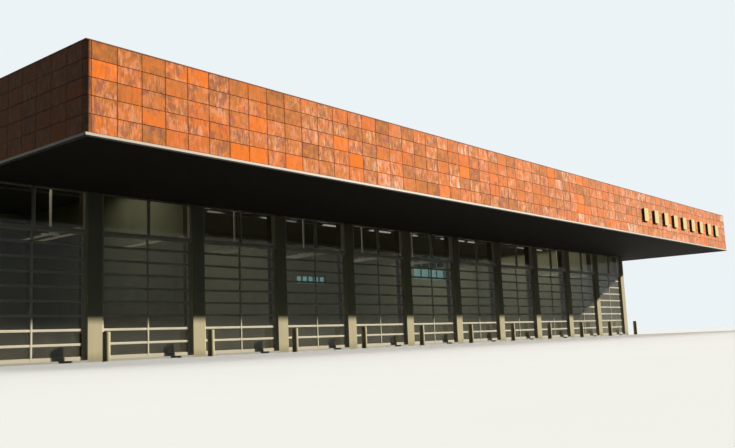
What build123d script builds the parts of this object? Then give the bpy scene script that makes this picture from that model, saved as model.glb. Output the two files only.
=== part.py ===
from build123d import *
import os

# Fire station: one long vehicle hall with eleven glazed bay doors between steel columns,
# under a deep flat roof box that is clad in weathering-steel panels and reaches far out
# over the forecourt. All sizes are millimetres of a 1:2 model, so the full-size building
# measures twice as much. +X runs along the door front, +Y runs into the building, +Z is up.
# The origin is the middle of the whole building's footprint, sign included, at ground level.

# Bays and columns
bay_pitch = 2400.0
bay_count = 11
column_width = 300.0
column_depth = 300.0

# Walls, floor and linings
wall_thickness = 120.0
floor_thickness = 40.0
hall_depth = 7000.0
lining_thickness = 50.0
partition_line = 2

# Heights above the ground
soffit_height = 3125.0
door_head_height = 2353.0

# Fixed steel frame of each bay: a transom window at the front, on two jambs set further back
frame_setback = 5.0
frame_depth = 60.0
transom_bar_height = 63.0
head_height = 25.0
transom_post_width = 46.0
jamb_width = 37.0
jamb_depth = 50.0
jamb_overlap = 6.0

# Sectional door leaf: the bottom section, like sections above it, the rest at the top
section_count = 9
bottom_section_height = 283.0
section_height = 258.5
rail_height = 23.0
bottom_rail_height = 68.0
stile_width = 36.0
mullion_width = 46.0
leaf_thickness = 26.0
leaf_lap = 24.0
glass_thickness = 10.0

# Door tracks, which turn from the jambs to run back under the ceiling, and their hangers
track_width = 30.0
track_depth = 38.0
track_bend_radius = 190.0
track_rise = 127.0
track_length = 2500.0
hanger_size = 36.0
hanger_distance = 1584.0
hanger_reach = 190.0

# Long light fittings under the ceiling, by their distance from the column faces
light_width = 70.0
light_height = 40.0
front_light_distance = 3080.0
back_light_distance = 3550.0

# Roof box
front_overhang = 3590.0
side_overhang = 1798.0
cladding_height = 1335.0
cladding_thickness = 60.0
trim_height = 57.0
corner_joint = 0.4
coping_height = 16.0
coping_width = 100.0
parapet_height = 150.0
deck_thickness = 125.0
beam_depth = 400.0
beam_flange_width = 100.0
beam_flange_thickness = 15.0
beam_web_thickness = 12.0

# Plain raised tablets in the sign's place near the right end of the front
sign_count = 9
sign_pitch = 880.0
sign_width = 340.0
sign_height = 425.0
sign_depth = 60.0
sign_right_margin = 1060.0
sign_bottom_margin = 430.0

# Windows in the back wall: left edge from the first column line, drop below the wall's top,
# width and height
back_windows = [
    (14700.0, 1252.0, 1500.0, 320.0),
    (21600.0, 142.0, 2280.0, 1060.0),
    (24500.0, 142.0, 1700.0, 330.0),
]
back_pane_counts = [5, 4, 4]
back_frame_bar = 34.0
back_frame_depth = 60.0

# Guard posts in front of the columns
post_diameter = 144.0
post_height = 530.0
post_setback = 360.0

# Worked out from the sizes above, first along X from the first column line
half_column = column_width / 2
left_wall_inner = half_column
left_wall_outer = left_wall_inner - wall_thickness
right_wall_outer = bay_count * bay_pitch + half_column
right_wall_inner = right_wall_outer - wall_thickness
roof_left = left_wall_outer - cladding_thickness
roof_right = right_wall_outer + side_overhang
origin_x = (roof_left + roof_right) / 2
opening_width = bay_pitch - column_width
door_width = opening_width - 2 * jamb_width

# Then along Y from the front faces of the columns
roof_front = -front_overhang
roof_back = hall_depth + cladding_thickness
origin_y = (roof_front - sign_depth + roof_back) / 2
back_wall_inner = hall_depth - wall_thickness
back_wall_middle = hall_depth - wall_thickness / 2
frame_back = frame_setback + frame_depth
frame_middle = frame_setback + frame_depth / 2
leaf_middle = frame_back + leaf_thickness / 2
jamb_middle = frame_back - jamb_overlap + jamb_depth / 2
jamb_back = jamb_middle + jamb_depth / 2
track_middle = jamb_back + track_depth / 2

# And upwards from the ground
lining_top = soffit_height + lining_thickness
cladding_bottom = soffit_height + trim_height
cladding_top = cladding_bottom + cladding_height
roof_top = cladding_top + coping_height
deck_top = cladding_top - parapet_height
deck_bottom = deck_top - deck_thickness
beam_bottom = deck_bottom - beam_depth
ceiling_bottom = beam_bottom - lining_thickness
leaf_height = door_head_height + leaf_lap - floor_thickness
track_level = door_head_height + track_rise
transom_bottom = door_head_height + transom_bar_height
transom_top = soffit_height - head_height
transom_height = transom_top - transom_bottom


def block(x, y, z):
    """A box from its low and high ends along each axis, moved to the building's origin."""
    size = Box(x[1] - x[0], y[1] - y[0], z[1] - z[0], align=(Align.MIN, Align.MIN, Align.MIN))
    return Pos(x[0] - origin_x, y[0] - origin_y, z[0]) * size


def rectangle(left, bottom, width, height):
    """A flat rectangle with its lower left corner at a place."""
    return Pos(left, bottom) * Rectangle(width, height, align=(Align.MIN, Align.MIN))


def upright(outline, left, middle, bottom, depth):
    """An outline, drawn from its lower left corner, stood up along X with its depth about a middle."""
    back_plane = Plane(
        origin=(left - origin_x, middle + depth / 2 - origin_y, bottom),
        x_dir=(1, 0, 0),
        z_dir=(0, -1, 0),
    )
    return extrude(back_plane * outline, depth)


def pane_pair(left, bottom, width, height, post):
    """The two glazed openings in a width that has one post in its middle."""
    pane_width = (width - post) / 2
    return [rectangle(x, bottom, pane_width, height) for x in (left, left + pane_width + post)]


# Columns, floor and walls


def column_sides():
    """Left and right faces of every column. The first is only as wide as the wall behind it."""
    lines = [line * bay_pitch for line in range(1, bay_count + 1)]
    return [(left_wall_outer, left_wall_inner)] + [(x - half_column, x + half_column) for x in lines]


def front_columns():
    """Steel box columns that run from the ground up past the soffit to the roof beams."""
    return [block(side, (0, column_depth), (0, beam_bottom)) for side in column_sides()]


def floor_slab():
    """Hall floor between the walls, out to the columns' front faces, notched round the columns."""
    slab = block((left_wall_inner, right_wall_inner), (0, back_wall_inner), (0, floor_thickness))
    return slab - front_columns()


def side_wall(outer, inner):
    """A plain end wall that runs back from a front column, up to the roof beam over it."""
    return block((min(outer, inner), max(outer, inner)), (column_depth, hall_depth), (0, beam_bottom))


def back_window_openings():
    """The left edge, sill, width and height of each opening in the back wall."""
    return [
        (left, beam_bottom - drop - height, width, height)
        for left, drop, width, height in back_windows
    ]


def back_wall():
    """The wall between the end walls, up to the roof beams, with its few windows cut through."""
    outline = rectangle(0, 0, right_wall_inner - left_wall_inner, beam_bottom)
    for left, sill, width, height in back_window_openings():
        outline -= rectangle(left - left_wall_inner, sill, width, height)
    return upright(outline, left_wall_inner, back_wall_middle, 0, wall_thickness)


def partition_wall():
    """Cross wall behind one of the columns, from the floor up to the roof beam over it."""
    middle = partition_line * bay_pitch
    return block(
        (middle - wall_thickness / 2, middle + wall_thickness / 2),
        (column_depth, back_wall_inner),
        (floor_thickness, beam_bottom),
    )


# Bay fronts


def opening_left(bay):
    """Where a bay's clear opening starts, just past the column on its left."""
    return bay * bay_pitch + half_column


def transom_panes():
    """The two openings above the door, drawn from the lower left corner of the transom window."""
    return pane_pair(jamb_width, transom_bar_height, door_width, transom_height, transom_post_width)


def bay_frame(bay):
    """One transom window with its closing panel above, on two jambs that stand behind its plane."""
    outline = rectangle(0, 0, opening_width, beam_bottom - door_head_height) - transom_panes()
    frame = upright(outline, opening_left(bay), frame_middle, door_head_height, frame_depth)
    jamb = rectangle(0, 0, jamb_width, soffit_height - floor_thickness)
    for left in (opening_left(bay), opening_left(bay) + opening_width - jamb_width):
        frame += upright(jamb, left, jamb_middle, floor_thickness, jamb_depth)
    return frame


def section_joints():
    """Heights of the joints between the door's sections, from its bottom edge to the bar over it."""
    between = [bottom_section_height + step * section_height for step in range(section_count - 1)]
    return [0.0] + between + [door_head_height - floor_thickness]


def door_panes():
    """Two openings in each section of a door, drawn from the leaf's lower left corner."""
    joints = section_joints()
    panes = []
    for number in range(section_count):
        lower_rail = bottom_rail_height if number == 0 else rail_height
        bottom = joints[number] + lower_rail
        height = joints[number + 1] - rail_height - bottom
        panes += pane_pair(stile_width, bottom, door_width - 2 * stile_width, height, mullion_width)
    return panes


def bay_door(bay):
    """One closed door leaf between its jambs. Its top edge laps behind the bar over it."""
    outline = rectangle(0, 0, door_width, leaf_height) - door_panes()
    left = opening_left(bay) + jamb_width
    return upright(outline, left, leaf_middle, floor_thickness, leaf_thickness)


def door_glass():
    """Two panes in every section of every door."""
    return [
        upright(pane, opening_left(bay) + jamb_width, leaf_middle, floor_thickness, glass_thickness)
        for bay in range(bay_count)
        for pane in door_panes()
    ]


def transom_glass():
    """Two fixed panes above every door."""
    return [
        upright(pane, opening_left(bay), frame_middle, door_head_height, glass_thickness)
        for bay in range(bay_count)
        for pane in transom_panes()
    ]


def back_window_panes(width, height, panes):
    """Equal openings side by side in a back window's frame, drawn from its lower left corner."""
    pane_width = (width - back_frame_bar * (panes + 1)) / panes
    pane_height = height - 2 * back_frame_bar
    lefts = [back_frame_bar + number * (pane_width + back_frame_bar) for number in range(panes)]
    return [rectangle(left, back_frame_bar, pane_width, pane_height) for left in lefts]


def back_window_frames():
    """Frames that fill the openings in the back wall, in the middle of its thickness."""
    frames = []
    for (left, sill, width, height), panes in zip(back_window_openings(), back_pane_counts):
        outline = rectangle(0, 0, width, height) - back_window_panes(width, height, panes)
        frames.append(upright(outline, left, back_wall_middle, sill, back_frame_depth))
    return frames


def back_window_glass():
    """A pane in every opening of the back windows' frames."""
    return [
        upright(pane, left, back_wall_middle, sill, glass_thickness)
        for (left, sill, width, height), panes in zip(back_window_openings(), back_pane_counts)
        for pane in back_window_panes(width, height, panes)
    ]


# Door tracks


def track_outline():
    """A track seen from the side: a straight rise, a quarter ring and a level run, in Y and Z."""
    front = track_middle - track_depth / 2 - origin_y
    bend_y = track_middle + track_bend_radius - origin_y
    bend_z = track_level - track_bend_radius
    outer_radius = track_bend_radius + track_depth / 2
    ring = Circle(outer_radius) - Circle(track_bend_radius - track_depth / 2)
    bend = Pos(bend_y, bend_z) * (ring & rectangle(-outer_radius, 0, outer_radius, outer_radius))
    rise = rectangle(front, floor_thickness, track_depth, bend_z - floor_thickness)
    level_run = rectangle(
        bend_y, track_level - track_depth / 2, track_length - origin_y - bend_y, track_depth
    )
    return rise + bend + level_run


def door_track(bay, side):
    """One track of a bay's door: up behind a jamb, round a bend and level towards the back."""
    middle = opening_left(bay) + opening_width / 2 + side * (opening_width - jamb_width) / 2
    left = middle - track_width / 2 - origin_x
    side_plane = Plane(origin=(left, 0, 0), x_dir=(0, 1, 0), z_dir=(1, 0, 0))
    return extrude(side_plane * track_outline(), track_width)


def track_hanger(line):
    """A cross bar over the tracks at one column line, hung from the ceiling or fixed to a wall."""
    low = track_level + track_depth / 2
    high = low + hanger_size
    y = (hanger_distance - hanger_size / 2, hanger_distance + hanger_size / 2)
    middle = line * bay_pitch
    left = max(middle - hanger_reach, left_wall_inner)
    right = min(middle + hanger_reach, right_wall_inner)
    hanger = block((left, right), y, (low, high))
    if line == partition_line:
        return hanger - partition_wall()
    if 0 < line < bay_count:
        x = (middle - hanger_size / 2, middle + hanger_size / 2)
        hanger += block(x, y, (high, ceiling_bottom))
    return hanger


def door_tracks():
    """The tracks beside each column line, joined to the hanger that holds their level runs."""
    joined = []
    for line in range(bay_count + 1):
        group = track_hanger(line)
        if line > 0:
            group += door_track(line - 1, 1)
        if line < bay_count:
            group += door_track(line, -1)
        joined.append(group)
    return joined


# Roof box


def front_soffit():
    """Lining under the front overhang, out to the cladding and in to the bay frames."""
    over_bays = block(
        (left_wall_inner, right_wall_outer),
        (roof_front + cladding_thickness, frame_setback),
        (soffit_height, lining_top),
    )
    before_first_column = block(
        (left_wall_outer, left_wall_inner),
        (roof_front + cladding_thickness, 0),
        (soffit_height, lining_top),
    )
    return over_bays + before_first_column - front_columns()


def side_soffit():
    """Lining under the overhang past the right wall."""
    return block(
        (right_wall_outer, roof_right - cladding_thickness),
        (roof_front + cladding_thickness, hall_depth),
        (soffit_height, lining_top),
    )


def hall_ceiling():
    """Lining under the beams from wall to wall, with two rows of long light fittings on it."""
    x = (left_wall_inner, right_wall_inner)
    ceiling = block(x, (frame_back, back_wall_inner), (ceiling_bottom, beam_bottom))
    for distance in (front_light_distance, back_light_distance):
        y = (distance - light_width / 2, distance + light_width / 2)
        ceiling += block(x, y, (ceiling_bottom - light_height, ceiling_bottom))
    return ceiling - front_columns() - partition_wall()


def roof_beams():
    """Steel beams across the building, one over each column, from front to back cladding."""
    flange_level = (beam_depth - beam_flange_thickness) / 2
    profile = Rectangle(beam_web_thickness, beam_depth)
    for side in (-1, 1):
        profile += Pos(0, side * flange_level) * Rectangle(beam_flange_width, beam_flange_thickness)
    beams = []
    for left, right in column_sides():
        back_end = Plane(
            origin=((left + right) / 2 - origin_x, hall_depth - origin_y, beam_bottom + beam_depth / 2),
            x_dir=(1, 0, 0),
            z_dir=(0, -1, 0),
        )
        beams.append(extrude(back_end * profile, hall_depth + front_overhang - cladding_thickness))
    return beams


def roof_deck():
    """Flat roof slab inside the cladding, below the top of the parapet."""
    return block(
        (roof_left + cladding_thickness, roof_right - cladding_thickness),
        (roof_front + cladding_thickness, roof_back - cladding_thickness),
        (deck_bottom, deck_top),
    )


def edge_runs(width, joint):
    """The four straight lengths of a band round the roof's edge, kept a joint apart at corners."""
    between = (roof_front + width + joint, roof_back - width - joint)
    return {
        "front": ((roof_left, roof_right), (roof_front, roof_front + width)),
        "back": ((roof_left, roof_right), (roof_back - width, roof_back)),
        "left": ((roof_left, roof_left + width), between),
        "right": ((roof_right - width, roof_right), between),
    }


def fascia(side):
    """The clad wall on one side of the roof box."""
    x, y = edge_runs(cladding_thickness, 0)[side]
    return block(x, y, (cladding_bottom, cladding_top))


def sign_tablets():
    """The raised tablets on the front's cladding, counted from the right."""
    rights = [roof_right - sign_right_margin - place * sign_pitch for place in range(sign_count)]
    bottom = cladding_bottom + sign_bottom_margin
    y = (roof_front - sign_depth, roof_front)
    return [block((right - sign_width, right), y, (bottom, bottom + sign_height)) for right in rights]


def fascia_trim():
    """Pale metal trim along the lower edge of the cladding, in four lengths."""
    runs = edge_runs(cladding_thickness, corner_joint)
    return [block(x, y, (soffit_height, cladding_bottom)) for x, y in runs.values()]


def parapet_coping():
    """Metal cap on the parapet, in four lengths, which reaches in over the roof."""
    runs = edge_runs(coping_width, corner_joint)
    return [block(x, y, (cladding_top, roof_top)) for x, y in runs.values()]


# Forecourt


def guard_posts():
    """Round posts that stand on the forecourt, one in front of every column."""
    post = Cylinder(post_diameter / 2, post_height, align=(Align.CENTER, Align.CENTER, Align.MIN))
    return [
        Pos((left + right) / 2 - origin_x, -post_setback - origin_y, 0) * post
        for left, right in column_sides()
    ]


def nodes():
    """Every named piece of the building, as one solid or a list of like solids."""
    pieces = {
        "front_columns": front_columns(),
        "floor_slab": floor_slab(),
        "left_wall": side_wall(left_wall_outer, left_wall_inner),
        "right_wall": side_wall(right_wall_outer, right_wall_inner),
        "back_wall": back_wall(),
        "partition_wall": partition_wall(),
        "door_glass": door_glass(),
        "transom_glass": transom_glass(),
        "door_tracks": door_tracks(),
        "back_window_frames": back_window_frames(),
        "back_window_glass": back_window_glass(),
        "front_soffit": front_soffit(),
        "side_soffit": side_soffit(),
        "hall_ceiling": hall_ceiling(),
        "roof_beams": roof_beams(),
        "roof_deck": roof_deck(),
        "fascia_trim": fascia_trim(),
        "parapet_coping": parapet_coping(),
        "guard_posts": guard_posts(),
    }
    for side in ("front", "back", "left", "right"):
        pieces[f"{side}_fascia"] = fascia(side)
    pieces["front_fascia"] += sign_tablets()
    for bay in range(bay_count):
        pieces[f"bay_frame_{bay + 1:02d}"] = bay_frame(bay)
        pieces[f"bay_door_{bay + 1:02d}"] = bay_door(bay)
    return pieces


def write_parts():
    """Write one STEP file for each named piece."""
    os.makedirs("parts", exist_ok=True)
    for name, piece in nodes().items():
        shapes = piece if isinstance(piece, list) else [piece]
        solids = [solid for shape in shapes for solid in shape.solids()]
        export_step(Compound(children=solids), f"parts/{name}.step")


write_parts()
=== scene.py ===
"""Fire station: finishes, cladding, door leaves and stage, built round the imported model."""

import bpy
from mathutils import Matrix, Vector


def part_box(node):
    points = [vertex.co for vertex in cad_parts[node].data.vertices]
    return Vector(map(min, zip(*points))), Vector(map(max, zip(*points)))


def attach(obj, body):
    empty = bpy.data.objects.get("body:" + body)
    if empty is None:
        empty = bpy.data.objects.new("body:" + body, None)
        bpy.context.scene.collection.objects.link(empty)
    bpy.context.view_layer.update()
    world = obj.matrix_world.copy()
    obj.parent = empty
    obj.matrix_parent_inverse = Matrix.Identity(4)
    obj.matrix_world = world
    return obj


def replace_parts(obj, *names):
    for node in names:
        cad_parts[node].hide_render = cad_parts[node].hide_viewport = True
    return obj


bl_info = {
    "name": "Fire station finishes",
    "version": (1, 0, 0),
    "blender": (4, 5, 0),
    "location": "3D View > Sidebar > Station",
    "description": "Clads, glazes and paints the fire station, and sets its stage and camera",
    "category": "Object",
}

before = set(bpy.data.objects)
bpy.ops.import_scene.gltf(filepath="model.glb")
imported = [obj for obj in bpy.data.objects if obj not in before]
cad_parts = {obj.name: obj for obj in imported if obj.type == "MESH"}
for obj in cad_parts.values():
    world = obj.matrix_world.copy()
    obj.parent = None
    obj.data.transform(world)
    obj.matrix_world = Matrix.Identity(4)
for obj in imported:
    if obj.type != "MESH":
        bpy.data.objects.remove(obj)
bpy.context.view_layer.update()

import math
from functools import cached_property

import bpy
import numpy as np
from bpy.types import Operator, Panel, PropertyGroup
from mathutils import Matrix, Vector

BODY = "root"
BAYS = range(1, 12)
SIDES = ("front", "back", "left", "right")
SMOOTH_UNDER = math.radians(30)

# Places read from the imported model, in metres
TRIM_LOW, TRIM_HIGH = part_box("fascia_trim")
COPING_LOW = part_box("parapet_coping")[0]
COLUMNS_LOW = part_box("front_columns")[0]
SOFFIT_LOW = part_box("front_soffit")[0]
SIDE_SOFFIT_LOW, SIDE_SOFFIT_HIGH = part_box("side_soffit")
CEILING_LOW, CEILING_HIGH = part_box("hall_ceiling")
POSTS_LOW, POSTS_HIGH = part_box("guard_posts")
LEFT_WALL_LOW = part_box("left_wall")[0]
RIGHT_WALL_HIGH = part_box("right_wall")[1]
BACK_WALL_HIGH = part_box("back_wall")[1]
LEAF_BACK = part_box("bay_door_01")[1].y
FRAME_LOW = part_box("bay_frame_01")[0]
BAY_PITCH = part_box("bay_frame_02")[0].x - FRAME_LOW.x


def linear(red, green, blue):
    """A colour given as the eye and a paint card have it, 0 to 255, turned into light values."""
    part = np.array([red, green, blue]) / 255
    return tuple(np.where(part <= 0.04045, part / 12.92, ((part + 0.055) / 1.055) ** 2.4).tolist())


def linked(name, data):
    """An object for a mesh, a light or a camera, put into the scene."""
    thing = bpy.data.objects.new(name, data)
    bpy.context.scene.collection.objects.link(thing)
    return thing


# Sizes and colours that a user would change


def whole(name, default, description, least):
    return bpy.props.IntProperty(name=name, description=description, default=default, min=least)


def length(name, default, description):
    return bpy.props.FloatProperty(
        name=name, description=description, default=default, min=0.0, unit="LENGTH", subtype="DISTANCE"
    )


def tone(name, card, description):
    default = linear(*card)
    return bpy.props.FloatVectorProperty(
        name=name, description=description, default=default, min=0.0, max=1.0, size=3, subtype="COLOR"
    )


class StationCladding(PropertyGroup):
    """Sizes of the steel trays on the roof box."""

    rows: whole("Rows", 5, "Trays one above another", 1)
    pitch: length("Pitch", 0.421, "Width of one tray and one joint along a wall")
    corner: length("Corner", 0.084, "Radius of the rounded trays at the roof's corners")
    joint: length("Joint", 0.007, "Open gap between two trays")
    backing_inset: length("Backing inset", 0.042, "From a corner to where the wall behind starts")
    tray_depth: length("Tray depth", 0.022, "How far a tray stands off the wall behind it")
    fold: length("Fold", 0.003, "Radius of a tray's folded edge")
    dish: length("Dish", 0.0022, "Most that a tray's face curves in or out")


class StationDoors(PropertyGroup):
    """Sizes of the sectional doors and of the transom windows over them."""

    sections: whole("Sections", 9, "Sections of a door leaf", 2)
    bottom_section: length("Bottom section", 0.283, "Height of the lowest section")
    section: length("Section", 0.2585, "Height of the sections over it")
    rail: length("Rail", 0.023, "Height of one rail, so that two make a joint")
    bottom_rail: length("Bottom rail", 0.068, "Height of the rail at the floor")
    stile: length("Stile", 0.036, "Width of a leaf's side members")
    mullion: length("Mullion", 0.046, "Width of the member between two panes")
    cover: length("Cover", 0.02, "Width of the cover strip on a mullion")
    bead: length("Bead", 0.008, "Width of a glazing bead")
    seal: length("Seal", 0.014, "Height of the rubber seal under a leaf")
    head_level: length("Head level", 2.353, "Height of the top section's upper edge")
    bar: length("Transom bar", 0.063, "Height of the bar under a transom window")
    head: length("Head", 0.025, "Height of the member over a transom window")
    jamb: length("Jamb", 0.037, "Width of a bay's jambs")


class StationTrim(PropertyGroup):
    """Sizes of the soffit boards, the sign tablets and the guard posts."""

    board: length("Board", 0.112, "Width of a soffit board")
    board_gap: length("Board gap", 0.01, "Open gap between two soffit boards")
    board_thickness: length("Board thickness", 0.008, "Thickness of a soffit board")
    tablets: whole("Tablets", 9, "Raised tablets on the front", 0)
    tablet_pitch: length("Tablet pitch", 0.88, "From one tablet to the next")
    tablet_width: length("Tablet width", 0.34, "Width of a tablet")
    tablet_height: length("Tablet height", 0.425, "Height of a tablet")
    tablet_margin: length("Tablet margin", 1.06, "From the last tablet to the roof's right end")
    tablet_rise: length("Tablet rise", 0.43, "From the cladding's lower edge to a tablet")
    edge_height: length("Edge height", 0.04, "Height of the pale edge strip under the cladding")
    edge_depth: length("Edge depth", 0.006, "How far the pale strip stands off the dark lip")
    post_rim: length("Post rim", 0.009, "Radius of the rounded rim of a guard post")


class StationColours(PropertyGroup):
    """Colours of the building's finishes."""

    rust_bright: tone("Bright rust", (242, 122, 22), "Youngest orange patina")
    rust_orange: tone("Orange rust", (230, 118, 42), "Usual orange patina")
    rust_salmon: tone("Salmon rust", (232, 146, 102), "Usual pinkish patina")
    rust_gold: tone("Gold rust", (210, 122, 52), "Golden-brown patina")
    rust_olive: tone("Olive rust", (180, 112, 50), "Old olive-brown patina")
    rust_mauve: tone("Mauve rust", (160, 92, 68), "Dense violet-brown patina")
    rust_pale: tone("Pale runs", (248, 200, 158), "Pale runs that rain has left")
    recess: tone("Recess", (104, 52, 28), "Wall behind the open joints")
    trim: tone("Trim", (208, 192, 170), "Pale edge under the cladding")
    coping: tone("Coping", (132, 78, 52), "Cap on the parapet")
    soffit: tone("Soffit", (33, 31, 26), "Boards under the overhang")
    column: tone("Column", (196, 184, 148), "Paint on columns, frames and posts")
    door: tone("Door", (226, 216, 190), "Door leaves")
    rubber: tone("Rubber", (30, 30, 28), "Seals and gaskets")
    glass: tone("Glass", (26, 32, 28), "Tint of the panes")
    window_glass: tone("Window glass", (122, 158, 150), "Tint of the back windows")
    render: tone("Render", (150, 151, 120), "Walls inside")
    outer_render: tone("Outer render", (186, 180, 160), "Walls outside")
    concrete: tone("Concrete", (168, 164, 152), "Hall floor")
    ceiling: tone("Ceiling", (92, 88, 76), "Hall ceiling")
    track: tone("Track", (232, 226, 202), "Door tracks and hangers")
    window: tone("Window", (120, 160, 156), "Frames of the back windows")
    membrane: tone("Membrane", (128, 128, 126), "Roof covering")
    beam: tone("Beam", (110, 110, 108), "Steel in the roof")
    tablet: tone("Tablet", (232, 206, 132), "Faces of the sign tablets")
    # Painted shade: the tablets' bodies and pins are dark to stand for their shaded sides and shadows
    tablet_shaded_side: tone("Tablet side", (52, 36, 26), "Sides of the sign tablets")
    floor: tone("Floor", (232, 231, 227), "Studio floor")
    floor_bounce: tone("Floor bounce", (36, 40, 42), "Light that the floor sends back up")
    backdrop: tone("Backdrop", (236, 243, 246), "Studio backdrop")


# Materials


def math_node(operation, swapped=False):
    """A method for Wire that adds a Math node and gives its output."""

    def method(self, *others):
        values = (*others, self) if swapped else (self, *others)
        return self.finish.node("Math", {"operation": operation}, dict(enumerate(values)))

    return method


class Wire:
    """One output in a node tree. Arithmetic on it adds Math nodes and gives their output."""

    def __init__(self, finish, socket):
        self.finish = finish
        self.socket = socket

    __add__ = __radd__ = math_node("ADD")
    __sub__ = math_node("SUBTRACT")
    __rsub__ = math_node("SUBTRACT", swapped=True)
    __mul__ = __rmul__ = math_node("MULTIPLY")
    __mod__ = math_node("FLOORED_MODULO")
    __abs__ = math_node("ABSOLUTE")
    least = math_node("MINIMUM")
    most = math_node("MAXIMUM")

    def rise(self, low, high):
        """0 below low and 1 above high, with a smooth rise between them."""
        inputs = {"Value": self, "From Min": low, "From Max": high}
        return self.finish.node("MapRange", {"interpolation_type": "SMOOTHSTEP"}, inputs)

    def fall(self, low, high):
        """1 below low and 0 above high."""
        return 1.0 - self.rise(low, high)

    def swing(self, amount):
        """How far a noise is from its middle, one half, times an amount."""
        return (self - 0.5) * amount

    def lines(self, pitch, width, core=0.0):
        """1 on lines half a pitch from every full pitch, and 0 from a width away on."""
        return abs(self % pitch - pitch / 2).fall(core, width)


class Finish:
    """The node tree of a new material, or of a new world."""

    def __init__(self, name, store="materials"):
        self.owner = getattr(bpy.data, store).new(name)
        self.owner.use_nodes = True
        self.tree = self.owner.node_tree
        self.tree.nodes.clear()

    def node(self, kind, settings=None, inputs=None, output=0):
        """Adds a node: its settings first, then a value or a wire for each input it is given."""
        node = self.tree.nodes.new("ShaderNode" + kind)
        for key, value in (settings or {}).items():
            if key == "stops":
                self.set_stops(node.color_ramp, value)
            else:
                setattr(node, key, value)
        for key, value in (inputs or {}).items():
            socket = self.find(node.inputs, key)
            if isinstance(value, Wire):
                self.tree.links.new(value.socket, socket)
            elif socket.type == "RGBA" and len(value) == 3:
                socket.default_value = (*value, 1.0)
            else:
                socket.default_value = value
        return Wire(self, self.find(node.outputs, output)) if node.outputs else None

    @staticmethod
    def find(sockets, key):
        if isinstance(key, int):
            return sockets[key]
        return next(s for s in sockets if key in (s.identifier, s.name))

    @staticmethod
    def set_stops(ramp, stops):
        while len(ramp.elements) < len(stops):
            ramp.elements.new(1.0)
        for element, (position, colour) in zip(ramp.elements, stops):
            element.position = position
            element.color = (*colour, 1.0)

    @cached_property
    def place(self):
        """Object coordinates, which are the building's own metres."""
        return self.node("TexCoord", output="Object")

    @cached_property
    def axes(self):
        """X, Y and Z of the place."""
        return self.split(self.place)

    def attribute(self, name):
        return self.node("Attribute", {"attribute_name": name}, output="Vector")

    def seen(self):
        """1 for what is seen, mirrored or looked at through glass, and 0 for what only gives light."""
        outputs = self.node("LightPath").socket.node.outputs
        names = ("Is Camera Ray", "Is Glossy Ray", "Is Transmission Ray")
        direct, mirrored, through = (Wire(self, outputs[name]) for name in names)
        return direct.most(mirrored).most(through)

    def split(self, vector):
        separate = self.node("SeparateXYZ", inputs={0: vector})
        return [Wire(self, socket) for socket in separate.socket.node.outputs]

    def join(self, x, y, z):
        return self.node("CombineXYZ", inputs={0: x, 1: y, 2: z})

    def noise(self, scale, detail=3.0, roughness=0.6, distortion=0.0, at=None):
        """Clouds from 0 to 1. Three scales, for X, Y and Z, stretch them."""
        at = at or self.place
        if isinstance(scale, tuple):
            at = self.node("VectorMath", {"operation": "MULTIPLY"}, {0: at, 1: scale})
            scale = 1.0
        inputs = {"Vector": at, "Scale": scale, "Detail": detail, "Roughness": roughness}
        return self.node("TexNoise", inputs={**inputs, "Distortion": distortion})

    def mix(self, factor, first, second):
        inputs = {"Factor_Float": factor, "A_Color": first, "B_Color": second}
        return self.node("Mix", {"data_type": "RGBA"}, inputs, "Result_Color")

    def shade(self, colour, factor):
        """A colour made darker or lighter by a number."""
        settings = {"data_type": "RGBA", "blend_type": "MULTIPLY"}
        grey = self.node("CombineColor", inputs={0: factor, 1: factor, 2: factor})
        inputs = {"Factor_Float": 1.0, "A_Color": colour, "B_Color": grey}
        return self.node("Mix", settings, inputs, "Result_Color")

    def surface(self, **inputs):
        """The finish's shader. Underscores in the names stand for spaces."""
        values = {key.replace("_", " "): value for key, value in inputs.items()}
        shader = self.node("BsdfPrincipled", inputs=values)
        self.node("OutputMaterial", inputs={"Surface": shader})
        return self.owner

    def coat(self, colour, lightness, roughness, gloss, bump, **more):
        """An opaque finish. Its bump is a height, a strength and a depth in metres."""
        height, strength, depth = bump
        relief = {"Strength": strength, "Distance": depth, "Height": height}
        return self.surface(
            Base_Color=self.shade(colour, lightness),
            Roughness=roughness,
            Specular_IOR_Level=gloss,
            Normal=self.node("Bump", inputs=relief),
            **more,
        )


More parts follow.
